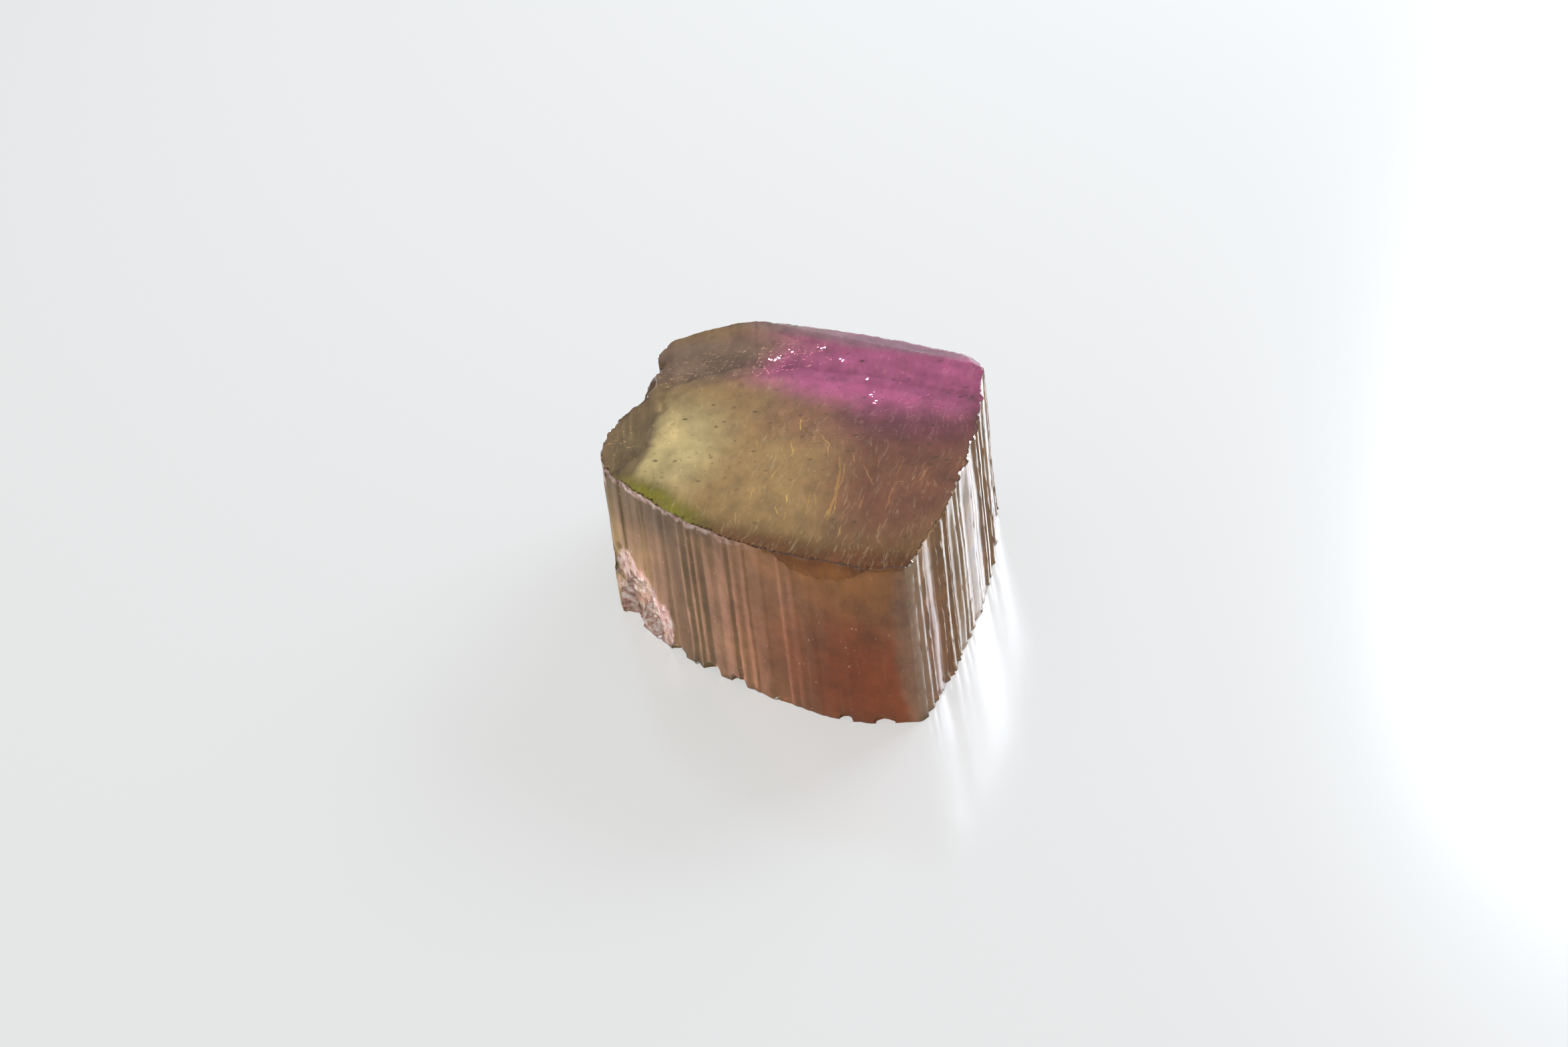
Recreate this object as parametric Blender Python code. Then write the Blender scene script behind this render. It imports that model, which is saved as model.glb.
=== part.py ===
"""Watermelon tourmaline crystal: a short striated section of a bowed three-sided prism.

Metres, +Z up along the crystal's long axis. The crystal stands on its lower broken end, and the
origin is the middle of its box at that end. The viewer of the name sides stands at -Y.
"""

import math
import random

import bmesh
import bpy
from mathutils import Euler, Matrix, Vector, noise

MM = 0.001
NAME = "watermelon_tourmaline"
SEED = 11

# All lengths are in millimetres until the mesh is scaled to metres.
HEIGHT = 5.35
# The top leans to +X of the foot, and the foot is wider than the top by the taper's share.
LEAN = 0.22
TAPER = 0.012
# Levels between foot and top, how far the walls wander there, and how slowly round and up them
LEVELS = 5
WANDER = 0.07
WANDER_ROUND = 0.9
WANDER_UP = 0.55
CORNER_RADIUS = 0.28
FRONT_CORNER_RADIUS = 0.60
CORNER_STEPS = 3
CORNER_SHARE = 0.45
# Points closer than this are one.
WELD = 0.004

# Sides of the section, counter-clockwise from the sharp front corner:
# name, length, heading in degrees, bow of the middle, ridge width, ridge height.
# The bowed front, in two sides that meet at its boldest ridge, closes the section.
SIDES = (
    ("right", 12.72, 71.6, 0.66, 0.52, 0.13),
    ("right_back", 1.70, 121.0, 0.20, 0.60, 0.03),
    ("back", 6.82, 144.1, 0.28, 0.55, 0.06),
    ("back_turn", 1.27, 161.6, 0.04, 0.50, 0.04),
    ("back_end", 2.34, 191.6, 0.08, 0.48, 0.04),
    ("shoulder", 1.20, 240.0, 0.06, 0.45, 0.03),
    ("step", 0.79, 270.0, 0.00, 0.42, 0.03),
    ("lobe_back", 1.08, 231.5, 0.24, 0.90, 0.00),
    ("lobe_front", 1.22, 280.0, 0.28, 0.90, 0.00),
    ("left", 2.88, 237.5, 0.18, 0.36, 0.05),
    ("tip", 1.75, 265.4, 0.12, 0.40, 0.03),
)
# The boldest ridge, from the front corner, and the bow and ridges on each side of it
FRONT_RIDGE = (-3.72, 2.16)
FRONT_LEFT = (0.46, 0.48, 0.055)
FRONT_RIGHT = (0.40, 0.55, 0.045)

# A growth ridge's width and crest vary as shares, and its crest is flat over two shoulders.
RIDGE_SPREAD = (0.45, 1.6)
CREST_PLACE = (0.25, 0.75)
SHOULDER = 0.12
SHOULDER_LIFT = 0.9
LEAST_LIFT = 0.15

# Flat breaks: a point of the plane (x and y from the front corner, z from the foot) and the
# direction that the plane faces, as heading and rise in degrees
FLAT_BREAKS = {
    "front_bevel": ((-2.20, 1.25, HEIGHT), 234.0, 32.0),
    "corner_bevel": ((-0.42, 0.22, HEIGHT), 256.0, 27.0),
    "back_bevel": ((1.40, 14.05, HEIGHT), 48.3, 75.0),
    "back_corner": ((3.55, 12.40, HEIGHT), 30.0, 64.0),
}
BREAK_SIZE = 30.0

# Shell-shaped chips: side, place along it from 0 to 1, height of the middle, radius,
# flattening along the wall's normal, and how deep the chip bites
CHIPS = {
    "lobe": (
        ("lobe_front", 0.10, HEIGHT + 0.40, 1.20, 0.80, 0.95),
        ("lobe_back", 0.30, HEIGHT + 0.30, 0.85, 0.70, 0.55),
    ),
    "foot": (
        ("front_left", 0.155, 1.05, 0.95, 0.50, 0.30),
        ("front_left", 0.080, 0.45, 0.75, 0.60, 0.30),
        ("front_left", 0.240, 0.50, 0.60, 0.60, 0.22),
        ("tip", 0.80, 1.75, 0.55, 0.55, 0.14),
    ),
    "tip": (
        ("tip", 0.95, HEIGHT, 0.42, 0.60, 0.17),
        ("left", 0.70, HEIGHT, 0.36, 0.60, 0.12),
    ),
}
# Rows of small nicks: side, how many, the stretch of the side, and the height of the edge
NICK_ROWS = {
    "top": ("front_left", 9, (0.04, 0.55), HEIGHT),
    "bottom": ("front_left", 5, (0.33, 0.98), 0.0),
    "corner": ("front_right", 2, (0.05, 0.95), 0.0),
}
NICK_RADIUS = (0.12, 0.40)
NICK_FLAT = 0.7
NICK_BITE = 0.42
# How rough, flat and askew a chip's ball is
CHIP_ROUGHNESS = 0.16
CHIP_SQUASH = (0.75, 1.0)
CHIP_TIP = 0.3
CHIP_ROLL = 0.2

# Green-brown rind, the colour that the sides show
RIND_COLOUR = (0.34, 0.20, 0.11, 1.0)
RIND_ROUGHNESS = 0.16
RIND_CLARITY = 0.6
TOURMALINE_IOR = 1.63


def clear_scene():
    """Empty the scene of its objects."""
    for obj in list(bpy.data.objects):
        bpy.data.objects.remove(obj, do_unlink=True)


def new_collection(name):
    """A collection in the scene."""
    collection = bpy.data.collections.new(name)
    bpy.context.scene.collection.children.link(collection)
    return collection


def heading(degrees):
    """Unit vector in plan at an angle from +X."""
    return Vector((math.cos(math.radians(degrees)), math.sin(math.radians(degrees)), 0.0))


def plan_sides():
    """Start, end, bow and ridges of each side by its name, from the front corner round to it."""
    sides = {}
    point = Vector((0.0, 0.0, 0.0))
    for name, length, angle, bow, width, height in SIDES:
        end = point + heading(angle) * length
        sides[name] = (point, end, bow, width, height)
        point = end
    ridge = Vector((*FRONT_RIDGE, 0.0))
    sides["front_left"] = (point, ridge, *FRONT_LEFT)
    sides["front_right"] = (ridge, Vector((0.0, 0.0, 0.0)), *FRONT_RIGHT)
    return sides


def on_side(side, share):
    """Point and outward normal on the bowed side at a share of its length."""
    start, end, bow = side[:3]
    along = (end - start).normalized()
    outward = Vector((along.y, -along.x, 0.0))
    rise = 4.0 * share * (1.0 - share)
    slope = 4.0 * bow * (1.0 - 2.0 * share) / (end - start).length
    normal = (outward - along * slope).normalized()
    return start.lerp(end, share) + outward * bow * rise, normal


def ridged_side(side, draw):
    """Points along a side: a groove, a shoulder and a crest for each growth ridge."""
    start, end, _, width, height = side
    length = (end - start).length
    points = [on_side(side, 0.0)[0]]
    place = 0.0
    while True:
        ridge = width * draw.uniform(*RIDGE_SPREAD)
        if place + ridge > length - width / 2.0:
            break
        tall = height * draw.uniform(LEAST_LIFT, 1.0)
        crest = draw.uniform(*CREST_PLACE)
        for share, lift in ((crest - SHOULDER, SHOULDER_LIFT), (crest + SHOULDER, 1.0), (1.0, 0.0)):
            point, normal = on_side(side, (place + ridge * share) / length)
            points.append(point + normal * tall * lift)
        place += ridge
    return points


def rounded(points, corners):
    """The outline with its sharp corners turned through a small radius."""
    outline = []
    for index, point in enumerate(points):
        if index not in corners:
            outline.append(point)
            continue
        before = points[index - 1] - point
        after = points[(index + 1) % len(points)] - point
        radius = CORNER_RADIUS if index else FRONT_CORNER_RADIUS
        reach = min(radius, CORNER_SHARE * before.length, CORNER_SHARE * after.length)
        first = point + before.normalized() * reach
        last = point + after.normalized() * reach
        for step in range(CORNER_STEPS + 1):
            share = step / CORNER_STEPS
            outline.append(first.lerp(point, share).lerp(point.lerp(last, share), share))
    return outline


def section_outline(sides):
    """The whole outline of the section, counter-clockwise seen from above."""
    draw = random.Random(SEED)
    points = []
    corners = set()
    for side in sides.values():
        corners.add(len(points))
        points.extend(ridged_side(side, draw))
    return rounded(points, corners)


def prism(outline):
    """The prism drawn up from its outline and cut into levels, its walls wandering a little."""
    up = Vector((0.0, 0.0, 1.0))
    bm = bmesh.new()
    foot = bm.faces.new([bm.verts.new(point) for point in outline])
    drawn = bmesh.ops.extrude_face_region(bm, geom=[foot], use_keep_orig=True)
    top = [item for item in drawn["geom"] if isinstance(item, bmesh.types.BMVert)]
    bmesh.ops.translate(bm, vec=up * HEIGHT, verts=top)
    for level in range(1, LEVELS):
        geom = bm.verts[:] + bm.edges[:] + bm.faces[:]
        bmesh.ops.bisect_plane(bm, geom=geom, plane_co=up * HEIGHT * level / LEVELS, plane_no=up)
    centre = sum(outline, Vector()) / len(outline)
    for vert in bm.verts:
        rise = vert.co.z / HEIGHT - 0.5
        away = Vector((vert.co.x - centre.x, vert.co.y - centre.y, 0.0))
        vert.co += Vector((LEAN, 0.0, 0.0)) * rise - away * TAPER * rise
        place = (vert.co.x * WANDER_ROUND, vert.co.y * WANDER_ROUND, vert.co.z * WANDER_UP)
        vert.co += away.normalized() * noise.noise(Vector(place)) * WANDER
    bmesh.ops.recalc_face_normals(bm, faces=bm.faces[:])
    return bm


def finish_mesh(bm, name, shift):
    """Move the bmesh to the row's origin, scale it to metres and make it a mesh."""
    bmesh.ops.translate(bm, vec=shift, verts=bm.verts[:])
    bmesh.ops.scale(bm, vec=Vector((MM, MM, MM)), verts=bm.verts[:])
    mesh = bpy.data.meshes.new(name)
    bm.to_mesh(mesh)
    bm.free()
    return mesh


def add_cutter(bm, name, shift, collection):
    """A hidden wire object that a Boolean takes away."""
    cutter = bpy.data.objects.new(name, finish_mesh(bm, name, shift))
    cutter.hide_render = True
    cutter.display_type = "WIRE"
    collection.objects.link(cutter)
    return cutter


def flat_break(plane):
    """A block whose one face lies on the break's plane, on the side that is broken away."""
    place, turn, rise = plane
    facing = heading(turn) * math.cos(math.radians(rise))
    facing.z = math.sin(math.radians(rise))
    bm = bmesh.new()
    bmesh.ops.create_cube(bm, size=BREAK_SIZE)
    bmesh.ops.translate(bm, vec=Vector((0.0, 0.0, BREAK_SIZE / 2.0)), verts=bm.verts[:])
    turned = Vector((0.0, 0.0, 1.0)).rotation_difference(facing).to_matrix().to_4x4()
    bmesh.ops.transform(bm, matrix=Matrix.Translation(Vector(place)) @ turned, verts=bm.verts[:])
    return bm


def shell_chip(side, share, z, radius, flat, bite, draw):
    """A rough flattened ball that bites into a wall like a shell-shaped break."""
    point, normal = on_side(side, share)
    bm = bmesh.new()
    bmesh.ops.create_icosphere(bm, subdivisions=2, radius=radius)
    for vert in bm.verts:
        vert.co *= 1.0 + CHIP_ROUGHNESS * draw.uniform(-1.0, 1.0)
    bmesh.ops.scale(bm, vec=Vector((flat, 1.0, draw.uniform(*CHIP_SQUASH))), verts=bm.verts[:])
    tip = draw.uniform(-CHIP_TIP, CHIP_TIP)
    roll = draw.uniform(-CHIP_ROLL, CHIP_ROLL)
    turn = Matrix.Rotation(math.atan2(normal.y, normal.x), 3, "Z") @ Euler((tip, roll, 0.0)).to_matrix()
    centre = point + normal * (radius * flat - bite) + Vector((0.0, 0.0, z))
    bmesh.ops.transform(bm, matrix=Matrix.Translation(centre) @ turn.to_4x4(), verts=bm.verts[:])
    return bm


def row_of_nicks(side, count, stretch, z, draw):
    """Small chips along a stretch of one edge."""
    first, last = stretch
    for index in range(count):
        share = first + (last - first) * (index + draw.random()) / count
        radius = draw.uniform(*NICK_RADIUS)
        yield shell_chip(side, share, z, radius, NICK_FLAT, radius * NICK_BITE, draw)


def all_cutters(sides, shift, collection):
    """Every break and chip as a cutter, in the order that they are taken away."""
    draw = random.Random(SEED + 1)
    cutters = []
    for name, plane in FLAT_BREAKS.items():
        cutters.append(add_cutter(flat_break(plane), name, shift, collection))
    for group, chips in CHIPS.items():
        for index, (side, share, z, radius, flat, bite) in enumerate(chips):
            bm = shell_chip(sides[side], share, z, radius, flat, bite, draw)
            cutters.append(add_cutter(bm, f"{group}_chip_{index}", shift, collection))
    for edge, (side, count, stretch, z) in NICK_ROWS.items():
        for index, bm in enumerate(row_of_nicks(sides[side], count, stretch, z, draw)):
            cutters.append(add_cutter(bm, f"{edge}_nick_{index}", shift, collection))
    return cutters


def tourmaline():
    """Clear brown-green tourmaline, the colour of the crystal's rind."""
    material = bpy.data.materials.new("tourmaline")
    material.use_nodes = True
    shader = material.node_tree.nodes["Principled BSDF"]
    shader.inputs["Base Color"].default_value = RIND_COLOUR
    shader.inputs["Roughness"].default_value = RIND_ROUGHNESS
    shader.inputs["IOR"].default_value = TOURMALINE_IOR
    shader.inputs["Transmission Weight"].default_value = RIND_CLARITY
    material.diffuse_color = RIND_COLOUR
    return material


def to_origin(bm):
    """The move that puts the middle of the prism's box over the origin."""
    across = [vert.co.x for vert in bm.verts]
    deep = [vert.co.y for vert in bm.verts]
    return Vector((-(min(across) + max(across)) / 2.0, -(min(deep) + max(deep)) / 2.0, 0.0))


def build():
    """The crystal, one closed solid, and the cutters that shape it."""
    clear_scene()
    crystal_parts = new_collection(NAME)
    cutter_parts = new_collection("cutters")
    sides = plan_sides()
    bm = prism(section_outline(sides))
    shift = to_origin(bm)
    crystal = bpy.data.objects.new("crystal", finish_mesh(bm, "crystal", shift))
    crystal.data.materials.append(tourmaline())
    crystal_parts.objects.link(crystal)
    for cutter in all_cutters(sides, shift, cutter_parts):
        cut = crystal.modifiers.new(cutter.name, "BOOLEAN")
        cut.operation = "DIFFERENCE"
        cut.solver = "EXACT"
        cut.object = cutter
    weld = crystal.modifiers.new("weld", "WELD")
    weld.merge_threshold = WELD * MM


build()
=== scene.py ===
"""Looks of a watermelon tourmaline crystal, with what is grown in it, and its stage.

The crystal is striated along its length, see-through, and zoned in colour.
"""

import logging
import math
import random
from collections.abc import Callable
from dataclasses import dataclass, field
from enum import Enum

import bmesh
import bpy
from mathutils import Matrix, Vector, noise
from mathutils.bvhtree import BVHTree


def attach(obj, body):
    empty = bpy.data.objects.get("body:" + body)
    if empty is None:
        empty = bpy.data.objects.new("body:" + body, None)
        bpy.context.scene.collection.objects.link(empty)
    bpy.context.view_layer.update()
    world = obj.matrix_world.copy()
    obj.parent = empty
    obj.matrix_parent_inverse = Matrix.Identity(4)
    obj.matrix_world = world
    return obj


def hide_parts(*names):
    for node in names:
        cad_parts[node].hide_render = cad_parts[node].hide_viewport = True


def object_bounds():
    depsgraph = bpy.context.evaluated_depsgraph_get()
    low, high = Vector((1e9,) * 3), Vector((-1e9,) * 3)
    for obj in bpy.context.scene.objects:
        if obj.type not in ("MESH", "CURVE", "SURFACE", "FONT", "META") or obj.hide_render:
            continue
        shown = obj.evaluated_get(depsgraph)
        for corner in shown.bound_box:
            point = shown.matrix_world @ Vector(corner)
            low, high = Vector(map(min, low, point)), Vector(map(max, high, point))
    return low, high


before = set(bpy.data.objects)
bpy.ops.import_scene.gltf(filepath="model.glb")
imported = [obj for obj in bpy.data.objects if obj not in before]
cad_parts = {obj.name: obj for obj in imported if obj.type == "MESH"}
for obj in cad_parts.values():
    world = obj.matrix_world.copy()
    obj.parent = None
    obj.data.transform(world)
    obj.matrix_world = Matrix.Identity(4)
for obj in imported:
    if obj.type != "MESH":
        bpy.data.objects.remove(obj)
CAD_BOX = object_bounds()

log = logging.getLogger("tourmaline")

MM = 0.001
PER_MM = 1.0 / MM
NODE = "crystal"
BODY = "root"
WALL_MASK = "wall"
TOP_HEIGHT = round(CAD_BOX[1][2] * PER_MM, 3)
# Corners of the CAD mesh's loose triangles that are closer than this are one.
CAD_WELD = 0.0005 * MM


def linear(colour: str) -> tuple[float, float, float, float]:
    """Turns an sRGB hex colour to the linear values that a shader takes.

    Args:
        colour: six hex digits, with or without a leading #.

    Returns:
        Linear red, green and blue, and an alpha of 1.
    """
    digits = colour.lstrip("#")
    channels = [int(digits[i:i + 2], 16) / 255 for i in (0, 2, 4)]
    return (*[c / 12.92 if c <= 0.04045 else ((c + 0.055) / 1.055) ** 2.4 for c in channels], 1.0)


def add_node(tree: bpy.types.NodeTree, kind: str, links: dict | None = None, **settings) -> bpy.types.Node:
    """Adds one node with its settings and what goes into it.

    Args:
        tree: the node tree that takes the node.
        kind: Blender's name of the node's type.
        links: an input's name or number, with the socket or the plain value that it takes.
        settings: the node's own properties.

    Returns:
        The new node.
    """
    node = tree.nodes.new(kind)
    for name, value in settings.items():
        setattr(node, name, value)
    for name, value in (links or {}).items():
        if isinstance(value, bpy.types.NodeSocket):
            tree.links.new(value, node.inputs[name])
        else:
            node.inputs[name].default_value = value
    return node


def new_material(name: str) -> tuple[bpy.types.Material, bpy.types.NodeTree]:
    """Makes an empty node material and gives it with its tree."""
    material = bpy.data.materials.new(name)
    material.use_nodes = True
    material.node_tree.nodes.clear()
    return material, material.node_tree


def smooth_step(low: float, high: float, value: float) -> float:
    """Eases from 0 at low to 1 at high."""
    t = min(1.0, max(0.0, (value - low) / (high - low)))
    return t * t * (3 - 2 * t)


def linked(bm: bmesh.types.BMesh, name: str, material: bpy.types.Material) -> bpy.types.Object:
    """Turns a bmesh to an object of the scene, at the origin, and frees it.

    Args:
        bm: the mesh.
        name: the object's name.
        material: its finish.

    Returns:
        The object.
    """
    mesh = bpy.data.meshes.new(name)
    bm.to_mesh(mesh)
    bm.free()
    mesh.materials.append(material)
    made = bpy.data.objects.new(name, mesh)
    bpy.context.scene.collection.objects.link(made)
    return made


def object_from(bm: bmesh.types.BMesh, name: str, material: bpy.types.Material) -> bpy.types.Object:
    """Turns a bmesh to a shown object at the origin that rides on the crystal's body.

    Args:
        bm: the mesh, which is freed.
        name: the piece's name.
        material: its finish.

    Returns:
        The object.
    """
    piece = linked(bm, name, material)
    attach(piece, BODY)
    return piece


def cad_copy() -> bmesh.types.BMesh:
    """Copies the CAD solid and joins its loose triangles."""
    bm = bmesh.new()
    bm.from_mesh(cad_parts[NODE].data)
    bmesh.ops.remove_doubles(bm, verts=bm.verts[:], dist=CAD_WELD)
    return bm


class Place(Enum):
    """Which of the crystal's surfaces a colour zone shows on."""

    TOP = "the broken upper end"
    FOOT = "the broken lower end, paler, which shows through the top"
    WALL = "the striated prism walls"


@dataclass(frozen=True)
class Zone:
    """A soft-edged patch of colour, an ellipse in plan.

    Attributes:
        centre: middle of the patch, in mm in the crystal's plan.
        reach: half its length and half its width, in mm.
        turn: heading of its length, in degrees.
        colour: sRGB hex.
        place: the surfaces that it shows on.
        softness: share of the reach over which it fades.
        strength: how far it covers what lies under it.
        heights: its middle and half its height, in mm, where it doesn't run through the whole crystal.
        outside: the colour lies round the ellipse and not in it.
    """

    centre: tuple[float, float]
    reach: tuple[float, float]
    turn: float
    colour: str
    place: Place = Place.TOP
    softness: float = 0.5
    strength: float = 1.0
    heights: tuple[float, float] = (0.0, 1e6)
    outside: bool = False


# Middle of the circle that the bowed front wall follows, whose radius is 15.8 mm.
FRONT_CENTRE = (8.67, 5.45)

ZONES = (
    # The light khaki heart of the left half.
    Zone((-4.2, 0.9), (3.0, 1.8), 78, "#d8c688", softness=0.7),
    # Brown that deepens to the right, and mauve where it meets the pink.
    Zone((3.2, -3.4), (4.8, 2.6), 75, "#744430", softness=0.6),
    Zone((4.3, 0.2), (3.0, 1.7), -30, "#743c4a", softness=0.6, strength=0.85),
    # Darker bands along the front edge of the top, broad and olive brown, then narrow and dark red-brown:
    # painted shade for the dark line where the front wall's inner side shows through the top.
    Zone((7.4, 6.15), (14.25, 14.25), 0, "#5c3c0a", softness=0.085, strength=0.92, outside=True),
    Zone((8.2, 5.7), (15.0, 15.0), 0, "#5a2600", softness=0.035, strength=0.9, outside=True),
    # The left wall's inner side seen through the break, drawn on the top as a plain brown band with a crisp
    # inner edge: painted shade, which stays put from other angles.
    Zone((-6.1, 1.6), (4.5, 1.6), 75, "#76603c", softness=0.12, strength=0.9),
    # The bevel under the front rim, which is amber.
    Zone((0.2, -8.2), (4.5, 2.5), -40, "#b88444", softness=0.25, heights=(4.3, 0.8)),
    # The green part of the rind by the front left edge.
    Zone((-4.6, -2.5), (2.3, 0.8), -58, "#707000", softness=0.6),
    # The pink core at the back right, with a grey bevel behind it.
    Zone((3.4, 3.9), (5.4, 2.7), -36, "#d86ca2", softness=0.4),
    Zone((2.9, 6.1), (4.6, 0.55), -36, "#9c828e", softness=0.5, strength=0.8),
    # The grey-brown shoulder at the back left.
    Zone((-2.4, 6.6), (2.6, 1.7), 0, "#90745e", softness=0.5),
    # The foot: brown at the right, pink under the core, green and brown by the front.
    Zone((3.2, -3.4), (4.8, 2.6), 75, "#c4a490", place=Place.FOOT, softness=0.6),
    Zone(FRONT_CENTRE, (14.4, 14.4), 0, "#a8905c", place=Place.FOOT, softness=0.085, outside=True),
    Zone((3.0, 5.0), (6.2, 3.2), -36, "#a2668a", place=Place.FOOT, softness=0.45),
    Zone((-2.4, 6.6), (2.6, 1.7), 0, "#b8a490", place=Place.FOOT, softness=0.5),
    # Walls: olive brown at the front left, amber over red-brown at the front corner, pale at its very
    # edge, pink at the back right, tan at the back left, and olive at the left.
    Zone((-4.5, -2.0), (4.0, 2.5), -60, "#76623c", place=Place.WALL, softness=0.8),
    Zone((1.0, -8.2), (3.6, 2.4), -40, "#9a4c18", place=Place.WALL, softness=0.9, heights=(1.4, 3.2)),
    Zone(
        (1.2, -8.6),
        (4.0, 2.4),
        -40,
        "#c88c3c",
        place=Place.WALL,
        softness=0.6,
        strength=0.7,
        heights=(5.6, 1.7),
    ),
    Zone((2.5, -8.8), (0.8, 0.45), 60, "#d8bc98", place=Place.WALL, softness=0.7, strength=0.6),
    Zone((2.8, 6.3), (4.4, 2.6), -36, "#f0a0c8", place=Place.WALL, softness=0.3),
    Zone((-3.2, 8.0), (3.0, 2.4), -10, "#b09468", place=Place.WALL, softness=0.5),
    Zone((-5.6, 2.6), (3.6, 1.3), 60, "#8a7640", place=Place.WALL, softness=0.5),
)

# Rough fresh chips: the middle of each and how far it reaches, in mm.
CHIPS = (
    ((-6.1, -0.5, 2.0), 0.80),
    ((-5.7, -1.3, 1.4), 0.95),
    ((-5.2, -2.0, 0.8), 0.95),
    ((-6.3, 0.6, 4.9), 0.45),
    ((-6.0, -1.0, 1.0), 0.95),
    ((-6.3, 0.8, 1.8), 0.50),
    ((-6.1, -0.2, 0.6), 0.90),
    ((-5.6, -1.4, 0.3), 0.90),
)
# Middle of the stretch of the top rim that is bruised white, in mm.
BRUISE_CENTRE = (-5.4, -2.2, TOP_HEIGHT)


@dataclass(frozen=True)
class TourmalineFinish:
    """Elbaite tourmaline, grown in prisms and broken across: see-through, glassy, zoned in colour.

    Its broken ends are clear and glossy, and its prism walls carry fine grooves along the length, which
    blur what is behind them and catch the light as parallel silver lines.

    Attributes:
        ior: refractive index of tourmaline.
        groove_width: width of the finest grooves on the walls, in mm, drawn as coarse as shows in the render.
        groove_depth: their depth, in mm.
        front_share: how deep they are on the bowed front wall, as a share.
        mottle_size: size of the cloudy patches in the colour, in mm.
        mottle: how dark and how light they turn it, as factors.
        warp: how far the colour zones' edges wander, in mm.
        warp_size: over what length they do so, in mm.
        fibre_size: length and width of the wisps in the broken ends, in mm.
        fibre_heading: the way that the wisps run in plan, in degrees.
        fibre_pale, fibre_dark: colours of the pale and the dark wisps, and fibre_dark of the specks too.
        fibre_share: how far a wisp covers what lies under it.
        speck_spacing, speck_share: distance of the places for dark specks, in mm, and how many hold one.
        ground, wall_ground, foot: colours of the broken top, the walls and the foot under their zones.
        fresh, fresh_dark, fresh_pale: middle, darkest and palest colour of crushed crystal in the chips.
        fresh_size: size of its crumbs, in mm.
        depth_colour: what white light turns to on a long way through the crystal.
        depth_density: how fast it does so, per metre.
        streak_width, streak_share: width of the walls' growth streaks, in mm, and how far they cover.
        streak_dark, streak_pale: their two colours.
        groove_stretch, streak_stretch: width to length of the finest grooves and of the streaks.
        dust, dust_spacing, dust_share: colour of the grains on the walls, their places' distance in mm,
            and how many places hold one.
        drift_size: size of the patches that the grains settle in, in mm.
        rag_size: size of the rags along a chip's edge, in mm.
        chip_edge: over which a chip fades out: distance in reaches, plus noise that is 0.5 on average.
        bruise_reach: distances from BRUISE_CENTRE over which the bruise fades out, in mm.
        foot_fade: heights over which the foot's colours give way to the broken top's, in mm.
        bruise, bruise_depth: how far the bruised rim is crushed, and how far down it reaches, in mm.
        break_roughness, fresh_roughness: how dull the broken ends and the chips are.
        wall_roughness: the same for the walls, then for the bowed front wall, which is satin.
        satin: distances from FRONT_CENTRE over which that sets in, in mm.
        break_clearness, fresh_clearness: how see-through the broken ends and the chips are.
        wall_clearness: the same for the walls where their colour is dark, then where it is pale.
        wall_depths: the dark and the pale brightness that this goes by.
    """

    ior: float = 1.63
    groove_width: float = 0.09
    groove_depth: float = 0.009
    groove_stretch: float = 0.03
    front_share: float = 0.45
    mottle_size: float = 0.9
    mottle: tuple[float, float] = (0.60, 1.36)
    warp: float = 0.5
    warp_size: float = 2.2
    fibre_size: tuple[float, float] = (0.7, 0.08)
    fibre_heading: float = 72.0
    fibre_pale: str = "#ecdcae"
    fibre_dark: str = "#4c3a1e"
    fibre_share: float = 0.42
    speck_spacing: float = 0.34
    speck_share: float = 0.30
    ground: str = "#a4824e"
    wall_ground: str = "#bc9866"
    fresh: str = "#cfa898"
    fresh_dark: str = "#6a5240"
    fresh_pale: str = "#f6efe8"
    fresh_size: float = 0.28
    depth_colour: str = "#d8b858"
    depth_density: float = 55.0
    streak_width: float = 0.45
    streak_stretch: float = 0.09
    streak_share: float = 0.20
    streak_dark: str = "#6c4e2c"
    streak_pale: str = "#9c8866"
    dust: str = "#dcc8ac"
    dust_spacing: float = 0.13
    dust_share: float = 0.3
    drift_size: float = 0.9
    rag_size: float = 0.42
    chip_edge: tuple[float, float] = (1.32, 1.5)
    bruise: float = 0.85
    bruise_depth: float = 0.28
    bruise_reach: tuple[float, float] = (2.4, 5.5)
    foot: str = "#d8caae"
    foot_fade: tuple[float, float] = (0.5, 1.5)
    break_roughness: float = 0.09
    wall_roughness: tuple[float, float] = (0.20, 0.44)
    satin: tuple[float, float] = (15.2, 15.6)
    fresh_roughness: float = 0.38
    break_clearness: float = 0.76
    wall_clearness: tuple[float, float] = (0.22, 0.72)
    wall_depths: tuple[float, float] = (0.05, 0.36)
    fresh_clearness: float = 0.18

    def coordinates(self, tree: bpy.types.NodeTree) -> bpy.types.NodeSocket:
        """Gives Object coordinates in mm."""
        place = add_node(tree, "ShaderNodeTexCoord").outputs["Object"]
        scaled = add_node(tree, "ShaderNodeMapping", {"Vector": place, "Scale": (PER_MM,) * 3})
        return scaled.outputs["Vector"]

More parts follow.
